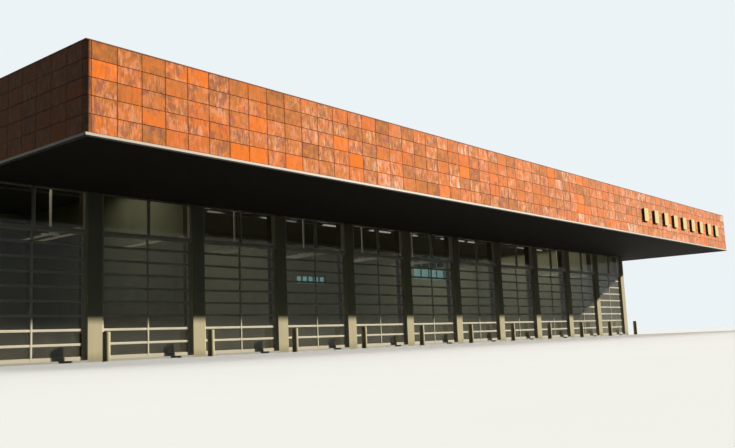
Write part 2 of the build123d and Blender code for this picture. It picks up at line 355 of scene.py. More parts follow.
def weathering_steel(colours):
    """Patina that differs from tray to tray, with short upright streaks, pale runs and dark edges.

    Each tray carries three random numbers and its own 0 to 1 places. The first number picks its
    tone, the others shift the streaks and choose which trays have pale runs.
    """
    finish = Finish("weathering_steel")
    chance, second, third = finish.split(finish.attribute("tray_chance"))
    across, up, _ = finish.split(finish.attribute("tray_place"))
    x, y, z = finish.axes
    along = x + y
    # Each tray looks at another part of the noise
    shift = chance * 37.0 + third * 11.0

    def streaks(across_scale, up_scale, detail, seed):
        lane = finish.join(along * across_scale + shift, z * up_scale + shift, second * 9.0 + seed)
        return finish.noise(1.0, detail, 0.6, 0.25, at=lane)

    broad = streaks(13.0, 3.2, 3.0, 0.0)
    slim = streaks(42.0, 6.5, 3.0, 4.0)
    patches = streaks(6.0, 6.5, 2.0, 8.0)
    grain = finish.noise(130.0, 2.0)
    few = (0.91, 0.94)  # of the trays' random numbers, only the last tenth is above this step
    # Lighter away from the left end: partly sun bleaching of the patina, partly painted glare
    glare_and_bleaching = x.rise(-14.0, -3.0)
    rightward = x.rise(3.0, 13.0)

    calm = chance.rise(*few)
    unrest = 1.0 - calm * 0.6
    stripes = patches.swing(1.1) + slim.swing(0.6)
    picked = chance * 0.5 + calm * 0.36 + stripes * unrest + 0.2
    stops = [
        (0.0, colours.rust_mauve),
        (0.18, colours.rust_olive),
        (0.42, colours.rust_gold),
        (0.66, colours.rust_orange),
        (0.88, colours.rust_orange),
        (0.97, colours.rust_bright),
    ]
    base = finish.node("ValToRGB", {"stops": stops}, {0: picked})
    pink = (streaks(9.0, 6.0, 3.0, 12.0) + slim.swing(0.4)).rise(0.47, 0.6)
    base = finish.mix(pink * second.rise(0.0, 0.6) * unrest * 0.8, base, colours.rust_salmon)
    dark = (streaks(8.0, 5.0, 2.0, 17.0) + broad.swing(0.9)).rise(0.5, 0.66)
    base = finish.mix(dark * third.rise(0.0, 0.5) * unrest * 0.75, base, colours.rust_mauve)
    runs = streaks(30.0, 5.5, 2.0, 15.0) + streaks(5.0, 4.0, 2.0, 21.0).swing(0.6)
    washed = second.rise(0.2, 0.9) * (0.4 + glare_and_bleaching * 0.55)
    pale = (runs + (0.5 - up) * 0.08).rise(0.54, 0.68) * washed * unrest * 0.75
    base = finish.mix(pale, base, colours.rust_pale)
    bleached = third.rise(*few) * glare_and_bleaching * broad.rise(0.5, 0.62)
    base = finish.mix(bleached * 0.6, base, linear(255, 232, 206))
    # Painted shade: the trays on the left side are made greyer, as they stand in shade
    left_side_shade = x.fall(TRIM_LOW.x + 0.02, TRIM_LOW.x + 0.1)
    base = finish.mix(left_side_shade * 0.5, base, linear(122, 114, 106))

    edge = across.least(1.0 - across).least(up.least(1.0 - up) * 1.4)
    # Painted glare: the trays are made lighter away from the left end, and a little darker towards the
    # right end
    lightness = 1.05 + glare_and_bleaching * 0.14 - rightward * 0.05 + slim.swing(0.6) + third.swing(0.12)
    lightness = lightness + grain.swing(0.16) - edge.fall(0.0, 0.06) * 0.14
    height = broad * 0.6 + slim * 0.3 + grain * 0.35
    return finish.coat(base, lightness, 0.72 + slim * 0.22, 0.18, (height, 0.35, 0.002))


def plain_paint(name, colour, roughness, wear, grain_scale=40.0, gloss=0.2):
    """Paint or metal with faint clouds, upright runs of dirt and a fine grain."""
    finish = Finish(name)
    clouds = finish.noise(1.3, 4.0)
    runs = finish.noise((14.0, 14.0, 0.9))
    grain = finish.noise(grain_scale)
    lightness = 1.0 + clouds.swing(wear) + runs.swing(wear) + grain.swing(wear * 0.7)
    roughness = roughness + clouds.swing(0.25)
    return finish.coat(colour, lightness, roughness, gloss, (grain + runs * 0.4, 0.12, 0.001))


def column_paint(colours):
    """Khaki paint with faint rain streaks and splash dirt near the ground, and painted shade on the
    parts inside the hall.
    """
    finish = Finish("column_paint")
    _, y, z = finish.axes
    clouds = finish.noise(2.1, 4.0)
    runs = finish.noise((22.0, 22.0, 1.1))
    grain = finish.noise(90.0, 2.0, 0.5)
    splash = (z + clouds.swing(0.12)).fall(0.0, 0.2) * 0.35
    paint = finish.mix(splash, colours.column, linear(96, 86, 66))
    # Painted shade: the parts behind the door leaves, inside the hall, are made darker
    inside = y.rise(LEAF_BACK, LEAF_BACK + 0.01) * 0.8
    paint = finish.mix(inside, paint, linear(50, 48, 42))
    lightness = 0.93 + clouds.swing(0.16) + runs.swing(0.2) + grain.swing(0.06)
    return finish.coat(paint, lightness, 0.55 + runs * 0.2, 0.05, (grain + clouds * 0.5, 0.1, 0.001))


def pane_glass(colours):
    """Dark glass that lets part of the hall show through, dusty by the ground, and paler at the right
    end with dust and a painted reflection.
    """
    finish = Finish("pane_glass")
    x, _, z = finish.axes
    dust = finish.noise((3.0, 3.0, 1.6), 4.0)
    low_dust = z.fall(0.3, 0.9) * 0.16
    # Paler, less clear glass towards the right end: partly dust, partly a painted reflection of the
    # sunlit ground
    end_dust_and_reflection = x.rise(6.5, 10.5) * z.fall(2.2, 2.5) * 0.24
    veil = dust.rise(0.35, 0.85) * 0.08 + low_dust + end_dust_and_reflection
    return finish.surface(
        Base_Color=finish.mix(veil * 1.5, colours.glass, linear(168, 158, 128)),
        Roughness=0.02 + dust * 0.04,
        Alpha=0.17 + veil,
        IOR=1.5,
    )


def window_glass(colours):
    """Green-tinted glass of the back windows, with a film of dust."""
    finish = Finish("window_glass")
    dust = finish.noise((3.0, 3.0, 1.6), 4.0)
    return finish.surface(
        Base_Color=finish.shade(colours.window_glass, 0.85 + dust * 0.3),
        Roughness=0.03 + dust * 0.08,
        Transmission_Weight=1.0,
        IOR=1.45,
    )


def door_metal(colours):
    """Pale anodised metal with fine brushing along the rails and dirt by the floor."""
    finish = Finish("door_metal")
    z = finish.axes[2]
    brush = finish.noise((2.5, 60.0, 240.0), 2.0)
    clouds = finish.noise(1.7, 3.0, 0.5)
    dirt = z.fall(0.04, 0.22) * (0.2 + clouds * 0.35)
    paint = finish.mix(dirt, colours.door, linear(120, 106, 84))
    lightness = 0.95 + clouds.swing(0.14) + brush.swing(0.08)
    return finish.coat(paint, lightness, 0.34 + brush * 0.16, 0.1, (brush, 0.08, 0.0005))


def boards_paint(colours, trim):
    """Nearly black boards, each with a slight change of tone across it and a faint grain along it."""
    finish = Finish("soffit_boards")
    y = finish.axes[1]
    grain = finish.noise((1.2, 45.0, 45.0), 4.0)
    clouds = finish.noise(0.7, 3.0, 0.5)
    slope = (y % (trim.board + trim.board_gap)) * 0.6
    lightness = 0.75 + grain * 0.35 + clouds.swing(0.5) + slope
    return finish.coat(colours.soffit, lightness, 0.62 + grain * 0.2, 0.03, (grain, 0.15, 0.001))


def wall_render(colours):
    """Fine render with lift lines, faint clouds and damp at the foot, paler on the outer faces."""
    finish = Finish("wall_render")
    x, y, z = finish.axes
    clouds = finish.noise(0.9, 4.0, 0.55)
    sand = finish.noise(55.0, 3.0, 0.65)
    runs = finish.noise((7.0, 7.0, 0.5), 3.0, 0.55)
    panel, lift, skin = 1.2, 0.62, 0.003
    joint = (x + y).lines(panel, 0.006).most(z.lines(lift, 0.005)) * 0.4
    outside = y.rise(BACK_WALL_HIGH.y - skin, BACK_WALL_HIGH.y - skin / 2)
    outside = outside.most(x.rise(RIGHT_WALL_HIGH.x - skin, RIGHT_WALL_HIGH.x - skin / 2))
    outside = outside.most(x.fall(LEFT_WALL_LOW.x + skin / 2, LEFT_WALL_LOW.x + skin))
    paint = finish.mix(outside, colours.render, colours.outer_render)
    damp = (z + clouds.swing(0.3)).fall(0.0, 0.35) * 0.4
    paint = finish.mix(damp, paint, linear(92, 86, 68))
    lightness = 0.94 + clouds.swing(0.2) + runs.swing(0.14) + sand.swing(0.1) - joint * 0.4
    relief = (sand * 0.6 - joint * 2.0, 0.25, 0.002)
    return finish.coat(paint, lightness, 0.82 + sand.swing(0.2), 0.2, relief)


def concrete_floor(colours):
    """Power-floated concrete with clouds, a fine grain and hairline joints at every bay."""
    finish = Finish("concrete_floor")
    x = finish.axes[0]
    clouds = finish.noise(0.8, 5.0)
    grain = finish.noise(70.0)
    joint = x.lines(BAY_PITCH, 0.006)
    lightness = 0.9 + clouds.swing(0.35) + grain.swing(0.12) - joint * 0.4
    relief = (grain - joint, 0.1, 0.001)
    return finish.coat(colours.concrete, lightness, 0.45 + clouds * 0.3, 0.3, relief)


def hall_lining(colours):
    """Ribbed ceiling sheets, with the light fittings that hang under them shining."""
    finish = Finish("hall_lining")
    x, y, z = finish.axes
    rib_pitch, tube_pitch, sheet = 0.1, 0.9, 0.05
    ribs = 1.0 - x.lines(rib_pitch, 0.02)
    clouds = finish.noise(0.9, 4.0)
    underside = CEILING_HIGH.z - sheet
    fitting = z.fall(underside - 0.004, underside - 0.001)
    tube = x.lines(tube_pitch, 0.345, 0.33)
    lit = finish.noise(1.0, 0.0, at=finish.join(x * 0.8, y * 3.0, 0.0)).rise(0.42, 0.62)
    beyond_partition = x.rise(-9.4, -9.3)
    lamp = fitting * tube * lit * beyond_partition * 0.4
    paint = finish.mix(fitting, colours.ceiling, linear(150, 146, 130))
    lightness = 0.8 + ribs * 0.2 + clouds.swing(0.3)
    shine = {"Emission_Color": finish.mix(lamp, (0.0, 0.0, 0.0), linear(255, 250, 235))}
    shine["Emission_Strength"] = 1.0
    return finish.coat(paint, lightness, 0.6 + clouds * 0.2, 0.2, (ribs, 0.3, 0.004), **shine)


def roof_membrane(colours):
    """Mineral felt in sheets half a metre wide, with lapped seams and dried puddle marks."""
    finish = Finish("roof_membrane")
    x = finish.axes[0]
    clouds = finish.noise(0.45, 5.0)
    mineral = finish.noise(160.0, 2.0, 0.7)
    puddle = finish.noise(0.8, 2.0, 0.4).rise(0.5, 0.56) * 0.16
    sheet, overlap = 0.5, 0.03
    lap = (x % sheet).fall(0.0, overlap)
    seam = (x + (sheet / 2 - overlap)).lines(sheet, 0.006)
    paint = finish.mix(lap * 0.25, colours.membrane, linear(96, 96, 95))
    lightness = 0.9 + clouds.swing(0.25) + mineral.swing(0.3) - seam * 0.35 - puddle
    relief = (mineral * 0.3 + lap * 1.5, 0.35, 0.003)
    return finish.coat(paint, lightness, 0.86 + mineral.swing(0.15), 0.5, relief)


# Meshes, each worked out as whole arrays: points, and a list of arrays of corner numbers. Such an
# array has a row for every face, and all its faces have as many corners.


def new_piece(name, slot, *parts):
    """A piece made of parts, each of them points, a list of face arrays and a material."""
    materials = list(dict.fromkeys(part[2] for part in parts))
    faces, numbers, start = [], [], 0
    for points, arrays, material in parts:
        faces += [array + start for array in arrays]
        numbers += [materials.index(material)] * sum(map(len, arrays))
        start += len(points)
    corners = np.concatenate([array.ravel() for array in faces]).astype(np.int32)
    counts = np.concatenate([np.full(len(array), array.shape[1]) for array in faces])
    mesh = bpy.data.meshes.new(name)
    mesh.vertices.add(start)
    mesh.vertices.foreach_set("co", np.vstack([part[0] for part in parts]).astype(np.float32).ravel())
    mesh.loops.add(len(corners))
    mesh.loops.foreach_set("vertex_index", corners)
    mesh.polygons.add(len(counts))
    mesh.polygons.foreach_set("loop_start", (np.cumsum(counts) - counts).astype(np.int32))
    for material in materials:
        mesh.materials.append(material)
    mesh.polygons.foreach_set("material_index", np.array(numbers, np.int32))
    mesh.update(calc_edges=True)
    mesh.shade_smooth()
    mesh.set_sharp_from_angle(angle=SMOOTH_UNDER)
    piece = linked(name, mesh)
    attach(piece, BODY)
    return piece


def set_attribute(piece, name, values):
    """Stores one vector for every point of a piece."""
    layer = piece.data.attributes.new(name, "FLOAT_VECTOR", "POINT")
    layer.data.foreach_set("vector", np.asarray(values, np.float32).ravel())


def copies(pattern, points_each, count):
    """A face pattern repeated for each copy of a shape, with its corner numbers moved on."""
    shifts = np.arange(count) * points_each
    return (pattern[None] + shifts[:, None, None]).reshape(-1, pattern.shape[1])


def ring_quads(rings, around, closed):
    """Quads from each ring of points to the next one, and from the last to the first if closed."""
    number = np.arange(rings * around).reshape(rings, around)
    ahead = np.roll(number, -1, 0)
    quads = np.stack([number, np.roll(number, -1, 1), np.roll(ahead, -1, 1), ahead], -1)
    return quads[: rings if closed else rings - 1].reshape(-1, 4)


BOX_FACES = np.array(
    [[0, 2, 3, 1], [4, 5, 7, 6], [0, 1, 5, 4], [2, 6, 7, 3], [0, 4, 6, 2], [1, 3, 7, 5]]
)


def boxes(lows, highs):
    """Closed boxes: a corner takes each coordinate from the low or the high end, 8 ways."""
    lows = np.asarray(lows, float).reshape(-1, 3)
    highs = np.asarray(highs, float).reshape(-1, 3)
    choice = np.stack(np.meshgrid([0, 1], [0, 1], [0, 1], indexing="ij"), -1).reshape(8, 3)
    points = lows[:, None] + choice[None] * (highs - lows)[:, None]
    return points.reshape(-1, 3), [copies(BOX_FACES, 8, len(lows))]


def bars(profile, starts, ends):
    """Closed bars along X: one profile in Y and Z, carried from each start to its end.

    Point k of a bar's end is the end's place plus profile point k. Quads join the two ends, and a
    cap closes each of them.
    """
    size = len(profile)
    section = np.column_stack([np.zeros(size), profile])
    points = np.stack([starts[:, None] + section, ends[:, None] + section], 1)
    here = np.arange(size)
    patterns = (ring_quads(2, size, False), np.stack([here[::-1], here + size]))
    return points.reshape(-1, 3), [copies(pattern, 2 * size, len(starts)) for pattern in patterns]


def tray_pattern(wide, high):
    """Corner numbers of a tray: a grid whose four outermost corner cells are left out.

    The grid points that meet at a tray's back corner become one, and a single face closes the back.
    Returns the quads, the back face and which grid points are used.
    """
    number = np.arange(wide * high).reshape(wide, high)
    right, top = wide - 1, high - 1
    number[0, 1] = number[1, 0]
    number[0, top - 1] = number[1, top]
    number[right, 1] = number[right - 1, 0]
    number[right, top - 1] = number[right - 1, top]
    cells = np.stack([number[:-1, :-1], number[1:, :-1], number[1:, 1:], number[:-1, 1:]], -1)
    keep = np.ones((right, top), bool)
    keep[[0, 0, -1, -1], [0, -1, 0, -1]] = False
    quads = cells[keep]
    rim = [number[1:right, 0], number[right, 2 : top - 1]]
    rim += [number[right - 1 : 0 : -1, top], number[0, top - 2 : 1 : -1]]
    back = np.concatenate(rim)[::-1][None]
    used = np.zeros(wide * high, bool)
    used[quads.ravel()] = True
    renumber = np.cumsum(used) - 1
    return renumber[quads], renumber[back], used


def straight(origin, along):
    """A path along a wall: a start plus the distance times a direction, with one outward side."""
    outward = np.cross(along, (0, 0, 1))

    def place(distance):
        points = origin + distance[..., None] * along
        return points, np.broadcast_to(outward, points.shape)

    return place


def rounded(origin, along, radius):
    """A path round a quarter circle that turns to the left, away from a wall's direction.

    The angle is distance over radius. The place is the start plus radius times its sine along the
    wall, less radius times one minus its cosine outwards. The outward side turns by the angle.
    """
    outward = np.cross(along, (0, 0, 1))

    def place(distance):
        angle = (distance / radius)[..., None]
        points = origin + radius * (np.sin(angle) * along - (1 - np.cos(angle)) * outward)
        return points, np.cos(angle) * outward + np.sin(angle) * along

    return place


def trays(path, starts, widths, bottoms, heights, cells, sizes, seed):
    """Folded steel trays on a wall, as one grid of points for each tray.

    Grid lines stand at 0, 0, fold, equal steps for the cells between, full less fold, full and full.
    Their depth behind the wall's face is tray depth, fold, 0 in between, fold and tray depth, and a
    grid point takes the deeper of its two lines. The face between dishes in or out by
    16 s(1-s)t(1-t) times a random share of the dish size. Returns the points and faces, and for
    every point its tray's three random numbers and its place in the tray.
    """
    rng = np.random.default_rng(seed)

    def lines(count):
        share = np.concatenate([[0, 0], np.linspace(0, 1, count + 1), [1, 1]])
        inset = np.zeros(count + 5)
        inset[2], inset[-3] = sizes.fold, -sizes.fold
        depth = np.zeros(count + 5)
        depth[[0, -1]] = sizes.tray_depth
        depth[[1, -2]] = sizes.fold
        return share, inset, depth

    share_s, inset_s, depth_s = lines(cells[0])
    share_t, inset_t, depth_t = lines(cells[1])
    shape = (len(starts), len(bottoms), len(share_s), len(share_t))
    s = np.broadcast_to((share_s * widths[:, None] + inset_s)[:, None, :, None], shape)
    t = np.broadcast_to((share_t * heights[:, None] + inset_t)[None, :, None, :], shape)
    s_share = s / widths[:, None, None, None]
    t_share = t / heights[None, :, None, None]
    swell = rng.uniform(-1, 1, (*shape[:2], 1, 1)) * 16
    for share in (s_share, t_share):
        swell = swell * share * (1 - share)
    depth = np.maximum(depth_s[:, None], depth_t[None, :]) + sizes.dish * (1 + swell)
    face, outward = path(starts[:, None, None, None] + s)
    points = face - depth[..., None] * outward
    points[..., 2] += bottoms[None, :, None, None] + t
    chance = np.broadcast_to(rng.uniform(0, 1, (*shape[:2], 1, 1, 3)), (*shape, 3))
    place = np.stack([s_share, t_share, np.zeros(shape)], -1)
    quads, back, used = tray_pattern(*shape[2:])
    count = shape[0] * shape[1]
    points, chance, place = (
        array.reshape(count, -1, 3)[:, used].reshape(-1, 3) for array in (points, chance, place)
    )
    faces = [copies(pattern, int(used.sum()), count) for pattern in (quads, back)]
    return (points, faces), chance, place


def frame_rings(outer, inner, front, profile):
    """Closed rectangular rings, such as a glazed cell's members, made by carrying a profile round.

    outer and inner are arrays of left, right, bottom and top. A profile point is a flag, a distance
    and a depth. With flag 0 it lies that far inside the outer rectangle, and with flag 1 that far
    outside the inner one. It lies that deep behind the front. Quads join each point's rectangle to
    the next one's, and the last to the first.
    """
    flag, distance, depth = np.array(profile, float).T[..., None]
    inward = np.array([1, -1, 1, -1]) * distance
    outer, inner = (np.asarray(rectangles, float)[:, None] for rectangles in (outer, inner))
    rectangles = np.where(flag == 0, outer + inward, inner - inward)
    x, z = rectangles[..., [0, 1, 1, 0]], rectangles[..., [2, 2, 3, 3]]
    points = np.stack([x, np.broadcast_to(front + depth, x.shape), z], -1)
    size = len(profile)
    return points.reshape(-1, 3), [copies(ring_quads(size, 4, True), size * 4, len(outer))]


def level_ring(outline, profile):
    """A closed level ring round a rectangle: each profile point is an inset and a height."""
    profile = [(0, inset, height) for inset, height in profile]
    points, faces = frame_rings([outline], [outline], 0.0, profile)
    return points[:, [0, 2, 1]], faces


def turned_posts(centres, profile, around):
    """Closed posts of revolution: a profile of radius and height turned about each centre.

    Point j of ring k lies at radius k, at the angle j parts of a full turn. One point closes the
    bottom and one the top.
    """
    angle = np.arange(around) * 2 * np.pi / around
    radius, height = np.array(profile, float).T[..., None]
    level = np.broadcast_to(height, (len(profile), around))
    rings = np.stack([radius * np.cos(angle), radius * np.sin(angle), level], -1).reshape(-1, 3)
    shape = np.vstack([rings, [0, 0, profile[0][1]], [0, 0, profile[-1][1]]])
    points = np.asarray(centres, float)[:, None] + shape[None]
    here = np.arange(around)
    beside = np.roll(here, -1)
    low, last = np.full(around, len(rings)), len(rings) - around
    foot = np.column_stack([beside, here, low])
    cap = np.column_stack([here + last, beside + last, low + 1])
    patterns = (ring_quads(len(profile), around, False), np.vstack([foot, cap]))
    return points.reshape(-1, 3), [copies(p, len(shape), len(centres)) for p in patterns]


# Pieces


def cladding_wall(side, cladding, steel, recess):
    """One side of the roof box: rows of trays with open joints, then the rounded trays at its end."""
    left, front, _ = TRIM_LOW
    right, back, bottom = TRIM_HIGH
    rise = COPING_LOW.z - bottom
    side_low, side_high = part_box("left_fascia")
    thickness = side_high.x - side_low.x
    runs = {
        "front": (left, front, (1, 0, 0), right - left),
        "right": (right, front, (0, 1, 0), back - front),
        "back": (right, back, (-1, 0, 0), right - left),
        "left": (left, back, (0, -1, 0), back - front),
    }
    x, y, along, span = runs[side]
    along = np.array(along, float)
    origin = np.array([x, y, bottom])
    reach = span - 2 * cladding.corner
    edges = cladding.corner + np.linspace(0, reach, round(reach / cladding.pitch) + 1)
    levels = np.linspace(0, rise, cladding.rows + 1)
    joint, half = cladding.joint, cladding.joint / 2
    rows = (levels[:-1] + half, np.diff(levels) - joint)
    flat_cells, bent_cells = (3, 3), (8, 3)
    seed = 11 + 2 * SIDES.index(side)
    path = straight(origin, along)
    flat, chance, place = trays(
        path, edges[:-1] + half, np.diff(edges) - joint, *rows, flat_cells, cladding, seed
    )
    path = rounded(origin + along * (span - cladding.corner), along, cladding.corner)
    arc = np.array([cladding.corner * math.pi / 2])
    bent, bent_chance, bent_place = trays(
        path, np.array([half]), arc - joint, *rows, bent_cells, cladding, seed + 1
    )
    outward = np.cross(along, (0, 0, 1))
    inset = cladding.backing_inset if side in ("front", "back") else thickness
    corner = origin + along * inset - outward * (cladding.tray_depth + cladding.dish)
    opposite = origin + along * (span - inset) - outward * thickness + np.array([0, 0, rise])
    wall = boxes(np.minimum(corner, opposite), np.maximum(corner, opposite))
    parts = (*flat, steel), (*bent, steel), (*wall, recess)
    piece = new_piece(f"cladding_{side}", "weathering_steel", *parts)
    filler = np.zeros((len(wall[0]), 3))
    set_attribute(piece, "tray_chance", np.vstack([chance, bent_chance, filler]))
    set_attribute(piece, "tray_place", np.vstack([place, bent_place, filler + 0.5]))
    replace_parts(piece, f"{side}_fascia")


def edge_strip(trim, pale, dark):
    """The pale strip under the cladding and the dark lip behind and under it.

    Each is a closed profile of inset and level, carried round the roof's rectangle.
    """
    low, high = TRIM_LOW.z, TRIM_HIGH.z
    lip = high - trim.edge_height
    depth, fold, inner = trim.edge_depth, 0.0012, 0.06
    strip = [(depth, lip), (fold, lip), (0, lip + fold), (0, high - fold), (fold, high), (depth, high)]
    backing = [(depth, low + fold), (depth + fold, low), (inner, low), (inner, high), (depth, high)]
    outline = (TRIM_LOW.x, TRIM_HIGH.x, TRIM_LOW.y, TRIM_HIGH.y)
    parts = (*level_ring(outline, strip), pale), (*level_ring(outline, backing), dark)
    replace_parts(new_piece("edge_strip", "trim_metal", *parts), "fascia_trim")


def sign_tablets(trim, face, side):
    """Plain tablets in the sign's place: boxes on standoffs painted dark as their shade, with pale
    plates in front.
    """
    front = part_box("front_fascia")[0].y
    plate, plate_lip, standoff, pin_end = 0.008, 0.004, 0.014, 0.004
    pin_inset = trim.tablet_width * 0.3
    rights = TRIM_HIGH.x - trim.tablet_margin - np.arange(trim.tablets) * trim.tablet_pitch
    lefts = rights - trim.tablet_width
    low = TRIM_HIGH.z + trim.tablet_rise
    high = low + trim.tablet_height

    def blocks(inset, near, far):
        level = np.ones_like(lefts)
        lows = np.column_stack([lefts + inset, level * near, level * (low + inset)])
        highs = np.column_stack([rights - inset, level * far, level * (high - inset)])
        return boxes(lows, highs)

    plates = blocks(0.0, front, front + plate)
    # Bodies and pins take the dark colour, painted shade for the tablets' sides
    bodies = blocks(plate_lip, front + plate, TRIM_LOW.y - standoff)
    pins = blocks(pin_inset, TRIM_LOW.y - standoff, TRIM_LOW.y + pin_end)
    new_piece("sign_tablets", "trim_metal", (*plates, face), (*bodies, side), (*pins, side))


def soffit_boards(trim, paint):
    """Boards along the building under the overhangs, with chamfered edges and open gaps."""
    pitch = trim.board + trim.board_gap
    chamfer = trim.board_thickness / 3
    half, drop = trim.board / 2, trim.board_thickness
    profile = [(-half, 0), (-half, chamfer - drop), (chamfer - half, -drop)]
    profile += [(half - chamfer, -drop), (half, chamfer - drop), (half, 0)]
    front = np.arange(SOFFIT_LOW.y + pitch / 2, COLUMNS_LOW.y - half, pitch)
    side = np.arange(front[-1] + pitch, SIDE_SOFFIT_HIGH.y - half, pitch)
    lefts = np.repeat([SOFFIT_LOW.x, SIDE_SOFFIT_LOW.x], [len(front), len(side)])
    rows = np.concatenate([front, side])
    starts = np.column_stack([lefts, rows, np.full(len(rows), SOFFIT_LOW.z)])
    ends = starts.copy()
    ends[:, 0] = SIDE_SOFFIT_HIGH.x
    new_piece("soffit_boarding", "soffit_boards", (*bars(profile, starts, ends), paint))


def pane_pair(low, high, side, post, bottom, top):
    """The two openings of a frame, from its side members to its middle post."""
    middle = (low.x + high.x) / 2
    return [
        (low.x + side, middle - post / 2, bottom, top),
        (middle + post / 2, high.x - side, bottom, top),
    ]


def door_leaf(bay, doors, metal, rubber):
    """One sectional leaf: two glazed cells in each section, a mullion cover and a floor seal."""
    low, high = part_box(f"bay_door_{bay:02d}")
    depth = high.y - low.y
    middle = (low.x + high.x) / 2
    joints = low.z + doors.bottom_section + np.arange(doors.sections - 1) * doors.section
    edges = np.concatenate([[low.z], joints, [high.z]])
    pane_bottoms = edges[:-1] + doors.rail
    pane_bottoms[0] = low.z + doors.bottom_rail
    pane_tops = edges[1:] - doors.rail
    pane_tops[-1] = doors.head_level - doors.rail
    outer, inner = [], []
    for edge, next_edge, pane_bottom, pane_top in zip(edges[:-1], edges[1:], pane_bottoms, pane_tops):
        outer += pane_pair(low, high, 0.0, 0.0, edge, next_edge)
        inner += pane_pair(low, high, doors.stile, doors.mullion, pane_bottom, pane_top)
    groove, bead, slope = 0.0015, doors.bead, 0.002
    profile = [(0, 0.0, 0.006), (0, groove, 0.0), (1, bead + slope, 0.0), (1, bead, 0.003)]
    profile += [(1, bead - slope, 0.0005), (1, 0.0, 0.005), (1, 0.0, depth)]
    profile += [(0, groove, depth), (0, 0.0, depth - 0.002)]
    cells = frame_rings(outer, inner, low.y, profile)
    cover, proud, sunk, gap = doors.cover / 2, 0.002, 0.004, 0.002
    covers = boxes(
        [(middle - cover, low.y - proud, bottom + gap) for bottom in edges[:-1]],
        [(middle + cover, low.y + sunk, top - gap) for top in edges[1:]],
    )
    inset, drop = 0.004, 0.001
    seal_low = (low.x, low.y + inset, low.z - drop)
    seal = boxes(seal_low, (high.x, high.y - inset, low.z + doors.seal))
    parts = (*cells, metal), (*covers, metal), (*seal, rubber)
    leaf = new_piece(f"door_leaf_{bay:02d}", "door_metal", *parts)
    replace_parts(leaf, f"bay_door_{bay:02d}")


def transom_beads(doors, metal):
    """Glazing beads round the two panes of every transom window."""
    bottom = doors.head_level + doors.bar
    top = SOFFIT_LOW.z - doors.head
    inner = []
    for bay in BAYS:
        inner += pane_pair(*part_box(f"bay_frame_{bay:02d}"), doors.jamb, doors.mullion, bottom, top)
    width, slope, deep = 0.012, 0.002, 0.02
    outer = np.array(inner) + np.array([-1, 1, -1, 1]) * width
    profile = [(0, 0, -slope), (0, slope, -2 * slope), (1, slope, -2 * slope), (1, 0, 0), (1, 0, deep)]
    beads = frame_rings(outer, inner, FRAME_LOW.y, [*profile, (0, 0, deep)])
    new_piece("transom_beads", "column_steel", (*beads, metal))


def guard_posts(trim, paint):
    """Posts of round tube with a rounded rim, set on a shallow collar."""
    radius = (POSTS_HIGH.y - POSTS_LOW.y) / 2
    middle = (POSTS_HIGH.y + POSTS_LOW.y) / 2
    last = POSTS_HIGH.x - radius
    lines = [last - (BAYS[-1] - bay) * BAY_PITCH for bay in BAYS]
    centres = [(x, middle, 0.0) for x in [POSTS_LOW.x + radius, *lines]]
    collar, collar_height, collar_slope, around = 0.0035, 0.02, 0.004, 40
    profile = [(radius, 0.0), (radius, collar_height), (radius - collar, collar_height + collar_slope)]
    top = POSTS_HIGH.z - trim.post_rim
    inner = radius - collar - trim.post_rim
    rim = np.linspace(0, np.pi / 2, 5)
    profile += [(inner + trim.post_rim * math.cos(a), top + trim.post_rim * math.sin(a)) for a in rim]
    profile += [(inner * 0.5, POSTS_HIGH.z)]
    posts = turned_posts(centres, profile, around)
    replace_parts(new_piece("guard_post_tubes", "post_metal", (*posts, paint)), "guard_posts")


# Operators


def paint_nodes(material, *names):
    """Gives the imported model's nodes a finish."""
    for name in names:
        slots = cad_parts[name].data.materials
        slots.clear()
        slots.append(material)


class STATION_OT_cladding(Operator):
    """Hang the weathering-steel trays on the four sides of the roof box"""

    bl_idname = "station.cladding"
    bl_label = "Cladding"

    def execute(self, context):
        colours = context.scene.station_colours
        steel = weathering_steel(colours)
        recess = plain_paint("joint_recess", colours.recess, 0.9, 0.3)
        for side in SIDES:
            cladding_wall(side, context.scene.station_cladding, steel, recess)
        pale = plain_paint("trim_metal", colours.trim, 0.45, 0.2, 60.0)
        dark = plain_paint("edge_lip", colours.soffit, 0.7, 0.3)
        edge_strip(context.scene.station_trim, pale, dark)
        return {"FINISHED"}


class STATION_OT_sign(Operator):
    """Fix the plain raised tablets in the sign's place"""

    bl_idname = "station.sign"
    bl_label = "Sign tablets"

    def execute(self, context):
        colours = context.scene.station_colours
        face = plain_paint("tablet_face", colours.tablet, 0.55, 0.16, gloss=0.05)
        # Painted shade: the dark colour of the tablets' bodies and pins
        side = plain_paint("tablet_shaded_side", colours.tablet_shaded_side, 0.6, 0.3)
        sign_tablets(context.scene.station_trim, face, side)
        return {"FINISHED"}


class STATION_OT_soffit(Operator):
    """Board the undersides of the overhangs"""

    bl_idname = "station.soffit"
    bl_label = "Soffit boards"

    def execute(self, context):
        paint = boards_paint(context.scene.station_colours, context.scene.station_trim)
        soffit_boards(context.scene.station_trim, paint)
        paint_nodes(paint, "front_soffit", "side_soffit")
        return {"FINISHED"}


class STATION_OT_doors(Operator):
    """Build the eleven sectional door leaves and the beads of the transom windows"""

    bl_idname = "station.doors"
    bl_label = "Doors and transoms"

    def execute(self, context):
        colours, doors = context.scene.station_colours, context.scene.station_doors
        metal = door_metal(colours)
        rubber = plain_paint("rubber_seal", colours.rubber, 0.7, 0.3)
        for bay in BAYS:
            door_leaf(bay, doors, metal, rubber)
        transom_beads(doors, metal)
        paint_nodes(metal, *[f"bay_frame_{bay:02d}" for bay in BAYS])
        return {"FINISHED"}


class STATION_OT_glass(Operator):
    """Glaze the doors, the transom windows and the back windows"""

    bl_idname = "station.glass"
    bl_label = "Glass"

    def execute(self, context):
        colours = context.scene.station_colours
        paint_nodes(pane_glass(colours), "door_glass", "transom_glass")
        paint_nodes(window_glass(colours), "back_window_glass")
        return {"FINISHED"}


